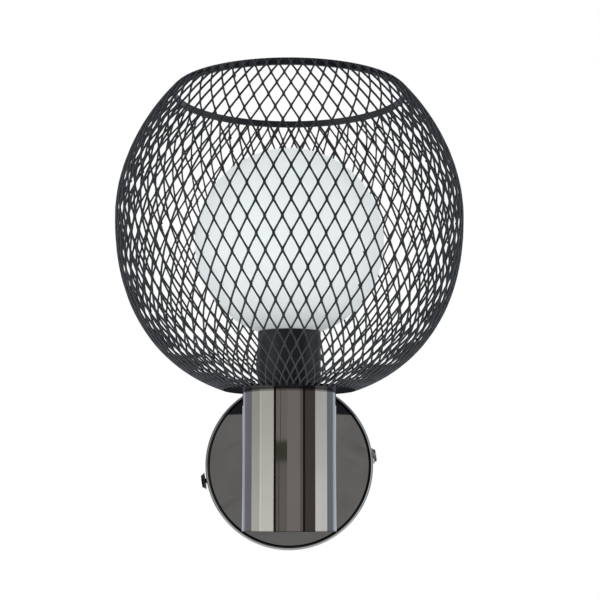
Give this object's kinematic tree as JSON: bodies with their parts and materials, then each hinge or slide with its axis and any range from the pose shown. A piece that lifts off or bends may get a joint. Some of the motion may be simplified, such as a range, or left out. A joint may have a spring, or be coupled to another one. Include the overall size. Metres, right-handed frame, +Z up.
{
  "type": "cage wall light",
  "caption": "Wall light: an open mesh cage shade round a globe bulb, on an upright column that stands off a round canopy.",
  "frame": {"origin": "middle of the wall bracket, on the wall plane", "axes": "+Y into the wall, +Z up, +X to the right of someone facing the wall"},
  "size_m": [0.2304, 0.2457, 0.3067],
  "materials": {
    "black_chrome": "mirror black chrome plating",
    "black_paint": "satin black powder coat",
    "black_plastic": "moulded black",
    "black_nylon": "moulded black",
    "dark_steel": "knurled, dark nickel plated",
    "zinc_steel": "zinc plated",
    "brass": "bright",
    "white_ceramic": "unglazed steatite",
    "block_plastic": "moulded white",
    "live_insulation": "extruded brown",
    "neutral_insulation": "extruded blue",
    "earth_insulation": "extruded green and yellow",
    "solder": "solder",
    "black_glass": "black glass insulator",
    "cap_metal": "rolled thread",
    "opal_glass": "opal, unlit"
  },
  "bodies": {
    "fixture": {"wall_bracket": "zinc_steel", "terminal_block": "block_plastic", "terminal_screws": "zinc_steel", "earth_screw": "brass", "earth_washer": "brass", "canopy": "black_chrome", "canopy_washer": "zinc_steel", "canopy_nut": "zinc_steel", "arm_sleeve": "black_chrome", "tie_tube": "zinc_steel", "saddle_washer": "zinc_steel", "column_nut": "zinc_steel", "column_tube": "black_chrome", "column_bottom_plate": "black_chrome", "bridge_plate": "zinc_steel", "bridge_nut": "zinc_steel", "bridge_lock_washer": "zinc_steel", "holder_nut": "zinc_steel", "holder_nipple": "zinc_steel", "gallery_disc": "black_chrome", "holder_cup": "black_paint", "holder_ring": "black_plastic", "lampholder_body": "black_plastic", "contact_carrier": "white_ceramic", "lampholder_terminals": "brass", "threaded_shell": "brass", "centre_contact": "brass", "lead_earth": "earth_insulation", "lead_live": "live_insulation", "lead_neutral": "neutral_insulation", "cage_mesh": "black_paint", "cage_rim_ring": "black_paint"},
    "bulb_rise": {"tip_contact": "solder"},
    "bulb": {"cap_insulator": "black_glass", "lamp_cap": "cap_metal", "lamp_globe": "opal_glass"},
    "left_washer": {"side_washer_left": "black_nylon"},
    "left_thumb_screw": {"side_screw_left": "dark_steel"},
    "right_washer": {"side_washer_right": "black_nylon"},
    "right_thumb_screw": {"side_screw_right": "dark_steel"}
  },
  "joints": [
    {"name": "bulb_travel", "type": "slide", "parent": "fixture", "child": "bulb_rise", "axis": [0, 0, 1], "range_m": [0, 0.01815]},
    {"name": "bulb_unscrew", "type": "hinge", "parent": "bulb_rise", "child": "bulb", "pos_m": [0, -0.13, 0], "axis": [0, 0, 1], "range_deg": [0, 1800]},
    {"name": "left_screw_travel", "type": "slide", "parent": "fixture", "child": "left_washer", "axis": [-0.989, 0, -0.1478], "range_m": [0, 0.007]},
    {"name": "left_screw_turn", "type": "hinge", "parent": "left_washer", "child": "left_thumb_screw", "pos_m": [-0.06084, -0.012, -0.01101], "axis": [-0.989, 0, -0.1478], "range_deg": [0, 3600.01]},
    {"name": "right_screw_travel", "type": "slide", "parent": "fixture", "child": "right_washer", "axis": [0.989, 0, 0.1478], "range_m": [0, 0.007]},
    {"name": "right_screw_turn", "type": "hinge", "parent": "right_washer", "child": "right_thumb_screw", "pos_m": [0.06041, -0.012, 0.00711], "axis": [0.989, 0, 0.1478], "range_deg": [0, 3600.01]}
  ],
  "couplings": [
    {"joint": "bulb_travel", "follows": "bulb_unscrew", "m_per_rad": 0.0005775},
    {"joint": "left_screw_turn", "follows": "left_screw_travel", "rad_per_m": 8976},
    {"joint": "right_screw_turn", "follows": "right_screw_travel", "rad_per_m": 8976}
  ]
}
